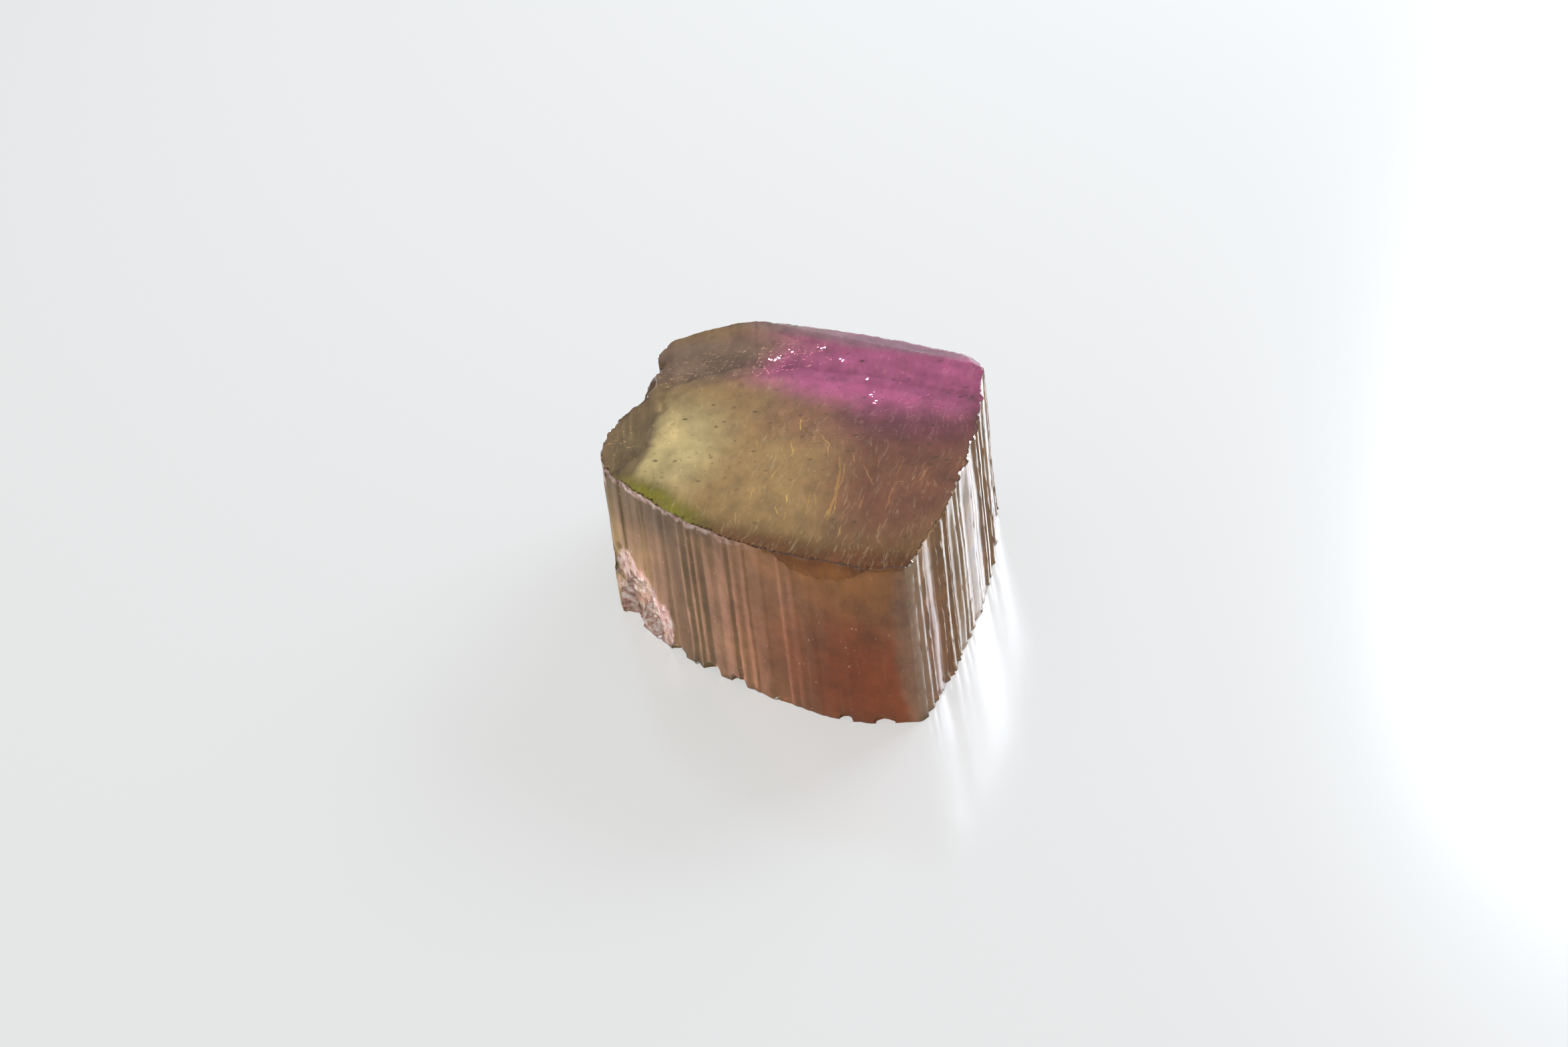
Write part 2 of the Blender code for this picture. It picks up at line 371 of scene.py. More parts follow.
    def chipped(
        self, tree: bpy.types.NodeTree, place: bpy.types.NodeSocket, wall: bpy.types.NodeSocket
    ) -> bpy.types.NodeSocket:
        """Gives how far a place lies in a fresh chip or on the bruised rim, from 0 to 1.

        Args:
            tree: the material's tree.
            place: coordinates, in mm.
            wall: how far the place is wall.

        Returns:
            The mask.
        """
        ragged = add_node(
            tree,
            "ShaderNodeTexNoise",
            {"Vector": place, "Scale": 1 / self.rag_size, "Detail": 5.0, "Roughness": 0.65},
        ).outputs["Fac"]
        cover = None
        for centre, reach in CHIPS:
            away = add_node(
                tree, "ShaderNodeVectorMath", {0: place, 1: centre}, operation="DISTANCE"
            ).outputs["Value"]
            share = add_node(
                tree, "ShaderNodeMath", {0: away, 1: 1 / reach, 2: ragged}, operation="MULTIPLY_ADD"
            ).outputs[0]
            inside = add_node(
                tree,
                "ShaderNodeMapRange",
                {
                    "Value": share,
                    "From Min": self.chip_edge[0],
                    "From Max": self.chip_edge[1],
                    "To Min": 1.0,
                    "To Max": 0.0,
                },
            ).outputs["Result"]
            if cover:
                inside = add_node(
                    tree, "ShaderNodeMath", {0: cover, 1: inside}, operation="MAXIMUM"
                ).outputs[0]
            cover = inside
        axes = add_node(tree, "ShaderNodeSeparateXYZ", {0: place}).outputs
        jagged = add_node(
            tree,
            "ShaderNodeMath",
            {0: ragged, 1: 2 * self.bruise_depth, 2: axes["Z"]},
            operation="MULTIPLY_ADD",
        ).outputs[0]
        edge = TOP_HEIGHT + 0.15 * self.bruise_depth
        rim = add_node(
            tree,
            "ShaderNodeMapRange",
            {"Value": jagged, "From Min": edge, "From Max": edge + 0.3 * self.bruise_depth},
        ).outputs["Result"]
        away = add_node(
            tree, "ShaderNodeVectorMath", {0: place, 1: BRUISE_CENTRE}, operation="DISTANCE"
        ).outputs["Value"]
        left = add_node(
            tree,
            "ShaderNodeMapRange",
            {
                "Value": away,
                "From Min": self.bruise_reach[0],
                "From Max": self.bruise_reach[1],
                "To Min": self.bruise,
                "To Max": 0.0,
            },
        ).outputs["Result"]
        for share in (left, wall):
            rim = add_node(tree, "ShaderNodeMath", {0: rim, 1: share}, operation="MULTIPLY").outputs[0]
        return add_node(tree, "ShaderNodeMath", {0: cover, 1: rim}, operation="MAXIMUM").outputs[0]

    def warped(self, tree: bpy.types.NodeTree, place: bpy.types.NodeSocket) -> bpy.types.NodeSocket:
        """Shifts the coordinates by soft noise, so that no zone has a drawn edge."""
        cloud = add_node(
            tree, "ShaderNodeTexNoise", {"Vector": place, "Scale": 1 / self.warp_size, "Detail": 4.0}
        )
        centred = add_node(
            tree, "ShaderNodeVectorMath", {0: cloud.outputs["Color"], 1: (0.5,) * 3}, operation="SUBTRACT"
        )
        sized = add_node(
            tree, "ShaderNodeVectorMath", {0: centred.outputs[0], "Scale": 2 * self.warp}, operation="SCALE"
        )
        return add_node(
            tree, "ShaderNodeVectorMath", {0: place, 1: sized.outputs[0]}, operation="ADD"
        ).outputs[0]

    def zoned(
        self, tree: bpy.types.NodeTree, place: bpy.types.NodeSocket, where: Place, ground: str
    ) -> bpy.types.NodeSocket:
        """Lays the zones of one kind of surface over its ground colour.

        Args:
            tree: the material's tree.
            place: warped coordinates, in mm.
            where: the kind of surface.
            ground: the colour under the zones, sRGB hex.

        Returns:
            The colour.
        """
        colour = linear(ground)
        for zone in (z for z in ZONES if z.place is where):
            ellipse = add_node(
                tree,
                "ShaderNodeMapping",
                {
                    "Vector": place,
                    "Location": (*zone.centre, zone.heights[0]),
                    "Rotation": (0.0, 0.0, math.radians(zone.turn)),
                    "Scale": (*zone.reach, zone.heights[1]),
                },
                vector_type="TEXTURE",
            )
            radius = add_node(tree, "ShaderNodeVectorMath", {0: ellipse.outputs[0]}, operation="LENGTH")
            cover = add_node(
                tree,
                "ShaderNodeMapRange",
                {
                    "Value": radius.outputs["Value"],
                    "From Min": 1 - zone.softness,
                    "From Max": 1 + zone.softness,
                    "To Min": 0.0 if zone.outside else zone.strength,
                    "To Max": zone.strength if zone.outside else 0.0,
                },
                interpolation_type="SMOOTHERSTEP",
            )
            mixed = add_node(
                tree,
                "ShaderNodeMix",
                {0: cover.outputs["Result"], 6: colour, 7: linear(zone.colour)},
                data_type="RGBA",
            )
            colour = mixed.outputs[2]
        return colour

    def grooves(self, tree: bpy.types.NodeTree, place: bpy.types.NodeSocket) -> bpy.types.NodeSocket:
        """Gives the fine grooves of the walls, which run along the crystal's length, from 0 to 1."""
        drawn = add_node(
            tree, "ShaderNodeMapping", {"Vector": place, "Scale": (1.0, 1.0, self.groove_stretch)}
        )
        grain = add_node(
            tree,
            "ShaderNodeTexNoise",
            {"Vector": drawn.outputs[0], "Scale": 0.5 / self.groove_width, "Detail": 4.0, "Roughness": 0.65},
        )
        return grain.outputs["Fac"]

    def streaked(
        self, tree: bpy.types.NodeTree, place: bpy.types.NodeSocket, colour: bpy.types.NodeSocket
    ) -> bpy.types.NodeSocket:
        """Draws the walls' growth streaks, which run along the crystal in golden brown and rose grey.

        Args:
            tree: the material's tree.
            place: coordinates, in mm.
            colour: the walls' zoned colour.

        Returns:
            The streaked colour.
        """
        drawn = add_node(
            tree, "ShaderNodeMapping", {"Vector": place, "Scale": (1.0, 1.0, self.streak_stretch)}
        )
        for width, low, high, tint in (
            (self.streak_width, 0.45, 0.62, self.streak_dark),
            (0.4 * self.streak_width, 0.56, 0.70, self.streak_pale),
        ):
            grain = add_node(
                tree,
                "ShaderNodeTexNoise",
                {"Vector": drawn.outputs[0], "Scale": 0.5 / width, "Detail": 5.0, "Roughness": 0.7},
            )
            cover = add_node(
                tree,
                "ShaderNodeMapRange",
                {
                    "Value": grain.outputs["Fac"],
                    "From Min": low,
                    "From Max": high,
                    "To Max": self.streak_share,
                },
            )
            colour = add_node(
                tree,
                "ShaderNodeMix",
                {0: cover.outputs["Result"], 6: colour, 7: linear(tint)},
                data_type="RGBA",
            ).outputs[2]
        return colour

    def grains(
        self, tree: bpy.types.NodeTree, place: bpy.types.NodeSocket, spacing: float, share: float
    ) -> bpy.types.NodeSocket:
        """Gives small grains strewn at random, as a mask from 0 to 1.

        Args:
            tree: the material's tree.
            place: coordinates, in mm.
            spacing: mean distance of the places that may hold a grain, in mm.
            share: how many of the places hold one.

        Returns:
            The mask.
        """
        cells = add_node(
            tree, "ShaderNodeTexVoronoi", {"Vector": place, "Scale": 1 / spacing, "Randomness": 1.0}
        )
        grain = add_node(
            tree,
            "ShaderNodeMapRange",
            {
                "Value": cells.outputs["Distance"],
                "From Min": 0.12,
                "From Max": 0.30,
                "To Min": 1.0,
                "To Max": 0.0,
            },
        )
        pick = add_node(tree, "ShaderNodeSeparateColor", {0: cells.outputs["Color"]})
        few = add_node(
            tree, "ShaderNodeMapRange", {"Value": pick.outputs[0], "From Min": 1 - share, "From Max": 1.0}
        )
        return add_node(
            tree,
            "ShaderNodeMath",
            {0: grain.outputs["Result"], 1: few.outputs["Result"]},
            operation="MULTIPLY",
        ).outputs[0]

    def wispy(
        self, tree: bpy.types.NodeTree, place: bpy.types.NodeSocket, colour: bpy.types.NodeSocket
    ) -> bpy.types.NodeSocket:
        """Draws the pale and dark wisps and the dark specks that cloud the broken ends.

        Args:
            tree: the material's tree.
            place: warped coordinates, in mm.
            colour: the ends' zoned colour.

        Returns:
            The clouded colour.
        """
        for turn, low, high, tint in (
            (0.0, 0.55, 0.78, self.fibre_pale),
            (17.0, 0.56, 0.80, self.fibre_dark),
        ):
            drawn = add_node(
                tree,
                "ShaderNodeMapping",
                {
                    "Vector": place,
                    "Rotation": (0.0, 0.0, math.radians(self.fibre_heading + turn)),
                    "Scale": (*self.fibre_size, 0.5),
                },
                vector_type="TEXTURE",
            )
            grain = add_node(
                tree,
                "ShaderNodeTexNoise",
                {
                    "Vector": drawn.outputs[0],
                    "Scale": 1.0,
                    "Detail": 4.0,
                    "Roughness": 0.7,
                    "Distortion": 0.6,
                },
            )
            cover = add_node(
                tree,
                "ShaderNodeMapRange",
                {
                    "Value": grain.outputs["Fac"],
                    "From Min": low,
                    "From Max": high,
                    "To Max": self.fibre_share,
                },
            )
            colour = add_node(
                tree,
                "ShaderNodeMix",
                {0: cover.outputs["Result"], 6: colour, 7: linear(tint)},
                data_type="RGBA",
            ).outputs[2]
        specks = self.grains(tree, place, self.speck_spacing, self.speck_share)
        return add_node(
            tree, "ShaderNodeMix", {0: specks, 6: colour, 7: linear(self.fibre_dark)}, data_type="RGBA"
        ).outputs[2]

    def make(self) -> bpy.types.Material:
        """Builds the material."""
        material, tree = new_material("tourmaline_grown_and_broken")
        place = self.coordinates(tree)
        wall = add_node(tree, "ShaderNodeAttribute", attribute_name=WALL_MASK).outputs["Fac"]
        fresh = self.chipped(tree, place, wall)
        soft = self.warped(tree, place)
        ends = self.wispy(tree, soft, self.zoned(tree, soft, Place.TOP, self.ground))
        height = add_node(tree, "ShaderNodeSeparateXYZ", {0: place}).outputs["Z"]
        low = add_node(
            tree,
            "ShaderNodeMapRange",
            {
                "Value": height,
                "From Min": self.foot_fade[0],
                "From Max": self.foot_fade[1],
                "To Min": 1.0,
                "To Max": 0.0,
            },
        ).outputs["Result"]
        foot = self.zoned(tree, soft, Place.FOOT, self.foot)
        ends = add_node(tree, "ShaderNodeMix", {0: low, 6: ends, 7: foot}, data_type="RGBA").outputs[2]
        walls = self.streaked(tree, place, self.zoned(tree, soft, Place.WALL, self.wall_ground))
        grooves = self.grooves(tree, place)
        body = add_node(tree, "ShaderNodeMix", {0: wall, 6: ends, 7: walls}, data_type="RGBA").outputs[2]
        deep = add_node(tree, "ShaderNodeMapping", {"Vector": place, "Scale": (1.0, 0.55, 1.0)}).outputs[0]
        mottle = add_node(
            tree,
            "ShaderNodeTexNoise",
            {"Vector": deep, "Scale": 1 / self.mottle_size, "Detail": 8.0, "Roughness": 0.65},
        )
        shade = add_node(
            tree,
            "ShaderNodeMapRange",
            {
                "Value": mottle.outputs["Fac"],
                "From Min": 0.3,
                "From Max": 0.7,
                "To Min": self.mottle[0],
                "To Max": self.mottle[1],
            },
        )
        clouded = add_node(
            tree, "ShaderNodeVectorMath", {0: body, "Scale": shade.outputs["Result"]}, operation="SCALE"
        ).outputs[0]
        broken = add_node(
            tree,
            "ShaderNodeTexNoise",
            {"Vector": place, "Scale": 1 / self.fresh_size, "Detail": 5.0, "Roughness": 0.7},
        )
        broken_colour = add_node(tree, "ShaderNodeValToRGB", {0: broken.outputs["Fac"]})
        ramp = broken_colour.color_ramp
        ramp.elements[0].position, ramp.elements[0].color = 0.34, linear(self.fresh_dark)
        ramp.elements[1].position, ramp.elements[1].color = 0.62, linear(self.fresh_pale)
        ramp.elements.new(0.48).color = linear(self.fresh)
        colour = add_node(
            tree, "ShaderNodeMix", {0: fresh, 6: clouded, 7: broken_colour.outputs[0]}, data_type="RGBA"
        ).outputs[2]
        drift = add_node(
            tree, "ShaderNodeTexNoise", {"Vector": place, "Scale": 1 / self.drift_size, "Detail": 3.0}
        ).outputs["Fac"]
        settled = add_node(
            tree, "ShaderNodeMapRange", {"Value": drift, "From Min": 0.48, "From Max": 0.66}
        ).outputs["Result"]
        dust = self.grains(tree, place, self.dust_spacing, self.dust_share)
        for share in (wall, settled):
            dust = add_node(tree, "ShaderNodeMath", {0: dust, 1: share}, operation="MULTIPLY").outputs[0]
        colour = add_node(
            tree, "ShaderNodeMix", {0: dust, 6: colour, 7: linear(self.dust)}, data_type="RGBA"
        ).outputs[2]
        level = add_node(
            tree, "ShaderNodeVectorMath", {0: place, 1: (1.0, 1.0, 0.0)}, operation="MULTIPLY"
        ).outputs[0]
        away = add_node(
            tree, "ShaderNodeVectorMath", {0: level, 1: (*FRONT_CENTRE, 0.0)}, operation="DISTANCE"
        ).outputs["Value"]
        satin = add_node(
            tree, "ShaderNodeMapRange", {"Value": away, "From Min": self.satin[0], "From Max": self.satin[1]}
        ).outputs["Result"]
        glossy, dull = self.wall_roughness
        roughness = add_node(tree, "ShaderNodeMix", {0: satin, 2: glossy, 3: dull}).outputs[0]
        roughness = add_node(
            tree, "ShaderNodeMix", {0: wall, 2: self.break_roughness, 3: roughness}
        ).outputs[0]
        roughness = add_node(
            tree, "ShaderNodeMix", {0: fresh, 2: roughness, 3: self.fresh_roughness}
        ).outputs[0]
        paleness = add_node(tree, "ShaderNodeRGBToBW", {0: walls}).outputs[0]
        wall_clearness = add_node(
            tree,
            "ShaderNodeMapRange",
            {
                "Value": paleness,
                "From Min": self.wall_depths[0],
                "From Max": self.wall_depths[1],
                "To Min": self.wall_clearness[0],
                "To Max": self.wall_clearness[1],
            },
        ).outputs["Result"]
        clearness = add_node(
            tree, "ShaderNodeMix", {0: wall, 2: self.break_clearness, 3: wall_clearness}
        ).outputs[0]
        clearness = add_node(
            tree, "ShaderNodeMix", {0: fresh, 2: clearness, 3: self.fresh_clearness}
        ).outputs[0]
        faint = add_node(
            tree, "ShaderNodeMath", {0: grooves, 1: self.front_share}, operation="MULTIPLY"
        ).outputs[0]
        grooves = add_node(tree, "ShaderNodeMix", {0: satin, 2: grooves, 3: faint}).outputs[0]
        relief = add_node(tree, "ShaderNodeMix", {0: wall, 2: mottle.outputs["Fac"], 3: grooves}).outputs[0]
        bump = add_node(
            tree, "ShaderNodeBump", {"Height": relief, "Distance": self.groove_depth * MM, "Strength": 1.0}
        )
        surface = add_node(
            tree,
            "ShaderNodeBsdfPrincipled",
            {
                "Base Color": colour,
                "Roughness": roughness,
                "IOR": self.ior,
                "Transmission Weight": clearness,
                "Normal": bump.outputs["Normal"],
            },
        )
        depth = add_node(
            tree,
            "ShaderNodeVolumeAbsorption",
            {"Color": linear(self.depth_colour), "Density": self.depth_density},
        )
        add_node(
            tree, "ShaderNodeOutputMaterial", {"Surface": surface.outputs[0], "Volume": depth.outputs[0]}
        )
        return material


@dataclass(frozen=True)
class InclusionFinish:
    """A mineral film or grain grown in the crystal, or a spark: pale, dull, lit through the crystal around
    it, and brightened by painted light where it glows.

    Attributes:
        name: what it is, then its colour.
        colour: sRGB hex.
        roughness: how dull it is.
        glow: light that it gives off though it is no lamp, which is painted light: in the threads and the
            pale grains it stands in for the light that they catch through the crystal, and in the sparks for
            the glints inside the crystal.
    """

    name: str
    colour: str
    roughness: float = 0.5
    glow: float = 0.0

    def make(self) -> bpy.types.Material:
        """Builds the material."""
        material, tree = new_material(self.name)
        place = add_node(tree, "ShaderNodeTexCoord")
        grain = add_node(
            tree,
            "ShaderNodeTexNoise",
            {"Vector": place.outputs["Object"], "Scale": 4 * PER_MM, "Detail": 4.0},
        )
        shade = add_node(
            tree,
            "ShaderNodeMapRange",
            {"Value": grain.outputs["Fac"], "From Min": 0.3, "From Max": 0.7, "To Min": 0.75, "To Max": 1.15},
        )
        colour = add_node(
            tree,
            "ShaderNodeVectorMath",
            {0: linear(self.colour)[:3], "Scale": shade.outputs["Result"]},
            operation="SCALE",
        )
        surface = add_node(
            tree,
            "ShaderNodeBsdfPrincipled",
            {
                "Base Color": colour.outputs[0],
                "Roughness": self.roughness,
                "Emission Color": linear(self.colour),
                "Emission Strength": self.glow,
            },
        )
        add_node(tree, "ShaderNodeOutputMaterial", {"Surface": surface.outputs[0]})
        return material


@dataclass
class Crystal:
    """The crystal itself: the CAD solid's form with the fine surface of a grown and broken prism.

    Attributes:
        top_cell, foot_cell, wall_cell: spacing of the cuts through top, foot and walls, in metres.
        strip, strip_passes: width of the walls' strips, in metres, and how often they are halved for it.
        weld: how near a cut may pass a corner before it goes through it, in metres.
        sliver: faces narrower than this are taken away, in metres.
        flat_angle: faces that meet more flatly than this are joined before the cuts.
        groove_widths, groove_depths: of the broad and the narrow grooves, in mm.
        groove_share: how deep they are where they are weakest.
        break_wave, break_depth: size and depth of the waves in the broken top, in mm.
        rim_wear: how far the top's rim is worn back, in mm.
        sharp_angle: edges sharper than this stay sharp.
        foot_guard: nothing this near the floor moves up or down, in metres.
        chip_grain, chip_depth: size and depth of the crags in the chips, in mm.
    """

    top_cell: float = 0.13 * MM
    foot_cell: float = 0.40 * MM
    wall_cell: float = 0.15 * MM
    strip: float = 0.09 * MM
    strip_passes: int = 3
    weld: float = 0.0001 * MM
    sliver: float = 0.012 * MM
    flat_angle: float = math.radians(0.5)
    groove_widths: tuple[float, ...] = (1.3, 0.45)
    groove_depths: tuple[float, ...] = (0.060, 0.034)
    groove_share: float = 0.12
    break_wave: float = 2.6
    break_depth: float = 0.030
    rim_wear: float = 0.06
    sharp_angle: float = math.radians(35)
    foot_guard: float = 0.05 * MM
    chip_grain: float = 0.22
    chip_depth: float = 0.10

    def cut(
        self, bm: bmesh.types.BMesh, axis: int, cell: float, wanted: Callable[[bmesh.types.BMFace], bool]
    ) -> None:
        """Cuts some of the faces by evenly spaced planes.

        Args:
            bm: the crystal's mesh.
            axis: the planes' normal, 0 to 2 for x, y or z.
            cell: their spacing, in metres.
            wanted: tells which faces are cut.
        """
        normal = Vector([float(i == axis) for i in range(3)])
        low, high = CAD_BOX[0][axis], CAD_BOX[1][axis]
        for step in range(int((high - low) / cell) + 1):
            faces = [f for f in bm.faces if wanted(f)]
            edges = {e for f in faces for e in f.edges}
            verts = {v for f in faces for v in f.verts}
            bmesh.ops.bisect_plane(
                bm,
                geom=[*verts, *edges, *faces],
                dist=self.weld,
                plane_co=normal * (low + (step + 0.5) * cell),
                plane_no=normal,
            )

    def refine(self, bm: bmesh.types.BMesh) -> None:
        """Cuts the broken top to small squares, and the walls to narrow strips along their grooves.

        Taking the slivers away can fold two faces onto each other, and such pairs are deleted.

        Args:
            bm: the crystal's mesh.
        """
        bmesh.ops.dissolve_limit(bm, angle_limit=self.flat_angle, verts=bm.verts[:], edges=bm.edges[:])
        ragged = [f for f in bm.faces if len(f.verts) > 4 and abs(f.normal.z) < 0.5]
        bmesh.ops.triangulate(bm, faces=ragged)
        for axis in (0, 1):
            self.cut(bm, axis, self.top_cell, lambda face: face.normal.z > 0.5)
            self.cut(bm, axis, self.foot_cell, lambda face: face.normal.z < -0.5)
        self.cut(bm, 2, self.wall_cell, lambda face: abs(face.normal.z) < 0.9)
        for _ in range(self.strip_passes):
            level = [
                e
                for e in bm.edges
                if e.calc_length() > self.strip
                and abs(e.verts[0].co.z - e.verts[1].co.z) < 0.3 * e.calc_length()
                and all(abs(f.normal.z) < 0.5 for f in e.link_faces)
            ]
            bmesh.ops.subdivide_edges(bm, edges=level, cuts=1)
        bmesh.ops.dissolve_degenerate(bm, dist=self.sliver, edges=bm.edges[:])
        bmesh.ops.triangulate(bm, faces=[f for f in bm.faces if len(f.verts) > 3])
        layers: dict[frozenset, list[bmesh.types.BMFace]] = {}
        for face in bm.faces:
            layers.setdefault(frozenset(face.verts), []).append(face)
        folded = [face for layer in layers.values() if len(layer) > 1 for face in layer]
        bmesh.ops.delete(bm, geom=folded, context="FACES")

    def groove(self, place: Vector, facing: Vector) -> float:
        """Gives how deep the walls are grooved, most of all on the right wall, and least on the front one.

        Args:
            place: a point of a wall.
            facing: the wall's outward direction there.

        Returns:
            The depth, in metres.
        """
        depth = 0.0
        right = smooth_step(-0.1, 0.6, facing.x)
        behind = 0.7 * smooth_step(-0.4, 0.3, facing.y)
        bold = max(self.groove_share, right, behind)
        for width, deep in zip(self.groove_widths, self.groove_depths):
            at = Vector((place.x / (width * MM), place.y / (width * MM), place.z / (40 * width * MM)))
            depth += bold * deep * MM * (0.5 + 0.5 * noise.noise(at))
        return depth

    def freshness(self, place: Vector) -> float:
        """Gives how far a place lies in a fresh rough chip, from 0 to 1."""
        ragged = 0.35 * noise.noise(place * PER_MM * 2.2)
        return max(
            1 - smooth_step(0.7, 1.0, (place * PER_MM - Vector(centre)).length / reach + ragged)
            for centre, reach in CHIPS
        )

    def carve(self, bm: bmesh.types.BMesh) -> None:
        """Grooves the walls, waves the broken top and wears its rim, always inwards.

        Args:
            bm: the refined mesh.
        """
        bm.normal_update()
        bm.verts.index_update()
        rim = {
            v.index
            for e in bm.edges
            if {abs(f.normal.z) > 0.6 for f in e.link_faces} == {True, False}
            for v in e.verts
        }
        moves = []
        for v in bm.verts:
            facing = sum((f.normal * f.calc_area() for f in v.link_faces), Vector()).normalized()
            move = -Vector((facing.x, facing.y, 0.0)) * self.groove(v.co, facing)
            if facing.z > 0.2:
                wave = noise.fractal(v.co * (PER_MM / self.break_wave), 0.8, 2.0, 5)
                move.z -= facing.z * self.break_depth * MM * (0.5 + 0.5 * max(-1.0, min(1.0, wave)))
            if v.index in rim and v.co.z > 0.5 * MM:
                bite = max(0.0, noise.noise(v.co * PER_MM * 1.7))
                move -= facing * self.rim_wear * MM * bite
            rough = self.freshness(v.co)
            if rough > 0:
                crag = noise.noise(v.co * (PER_MM / self.chip_grain))
                move -= facing * (self.chip_depth * MM * rough * (0.5 + 0.5 * crag))
            if v.co.z < self.foot_guard:
                move.z = 0.0
            move.z = max(move.z, -0.5 * v.co.z)
            moves.append(move)
        for v, move in zip(bm.verts, moves):
            v.co += move

    def mask(self, bm: bmesh.types.BMesh) -> None:
        """Marks each face as wall or broken end, for the finish.

        Args:
            bm: the carved mesh.
        """
        bm.normal_update()
        wall = bm.faces.layers.float.new(WALL_MASK)
        for f in bm.faces:
            f[wall] = 1 - smooth_step(0.35, 0.75, abs(f.normal.z))

    def build(self) -> bpy.types.Object:
        """Builds the crystal and lets it stand for its CAD node."""
        bm = cad_copy()
        self.refine(bm)
        self.carve(bm)
        self.mask(bm)
        triangles = len(bm.faces)
        piece = object_from(bm, "tourmaline_crystal", TourmalineFinish().make())
        piece.data.shade_smooth()
        piece.data.set_sharp_from_angle(angle=self.sharp_angle)
        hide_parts(NODE)
        log.info("crystal: %d triangles", triangles)
        return piece


@dataclass(frozen=True)
class Thread:
    """A healed crack that shows as a golden thread.

    Attributes:
        points: the course in plan, in mm, as seen through the top.
        width: its width in the middle, in mm.
        depth: how far it lies under the top, in mm.
    """

    points: tuple[tuple[float, float], ...]
    width: float = 0.05
    depth: float = 0.5


@dataclass(frozen=True)
class View:
    """The photograph's camera, and where on the crystal's top one of its pixels lies.

    Attributes:
        aim: the place at the middle of the picture, in mm.
        elevation: how far above level the camera stands, in degrees.
        roll: how far it is turned about its own axis, in degrees.
        focal: its focal length, in pixels.
        pixel: what one pixel spans at the aim, in mm.
        middle: the middle of the picture, in pixels.
        corner: upper left corner of the enlarged crop that points are picked in, in pixels.
        shrink: size of one of the crop's pixels, in pixels of the picture.
    """

    aim: tuple[float, float, float] = (-0.78, -5.197, TOP_HEIGHT)
    elevation: float = 30.0
    roll: float = -10.0
    focal: float = 4500.0
    pixel: float = 0.0201
    middle: tuple[float, float] = (1174.0, 784.0)
    corner: tuple[float, float] = (860.0, 440.0)
    shrink: float = 680 / 1568

    def axes(self) -> tuple[Vector, Vector, Vector]:
        """Gives the directions to the camera's right, up and back."""
        e = math.radians(self.elevation)
        r = math.radians(self.roll)
        back = Vector((0, -math.cos(e), math.sin(e)))
        level = Vector((1, 0, 0))
        rise = back.cross(level)
        right = math.cos(r) * level + math.sin(r) * rise
        up = -math.sin(r) * level + math.cos(r) * rise
        return right, up, back

    def on_top(self, point: tuple[float, float]) -> tuple[float, float]:
        """Gives the place on the crystal's top that shows at a picked point, to 0.01 mm.

        Args:
            point: the point, in pixels of the crop.

        Returns:
            The place in plan, in mm.
        """
        e = math.radians(self.elevation)
        r = math.radians(self.roll)
        across, down = (p * self.shrink + c - m for p, c, m in zip(point, self.corner, self.middle))
        level = across * math.cos(r) + down * math.sin(r)
        rise = across * math.sin(r) - down * math.cos(r)
        reach = self.focal * math.sin(e) / (self.focal * math.sin(e) - rise * math.cos(e))
        x = level * reach
        y = (rise * math.sin(e) + self.focal * math.cos(e)) * reach - self.focal * math.cos(e)
        return round(x * self.pixel + self.aim[0], 2), round(y * self.pixel + self.aim[1], 2)

    def refracted(self, ior: float) -> float:
        """Gives how far back the line of sight goes under the top for each mm down, to 0.001 mm."""
        return round(math.tan(math.asin(math.cos(math.radians(self.elevation)) / ior)), 3)


VIEW = View()


def picked(*points: tuple[float, float]) -> tuple[tuple[float, float], ...]:
    """Gives the places on the crystal's top of points picked in the photograph's crop."""
    return tuple(VIEW.on_top(point) for point in points)


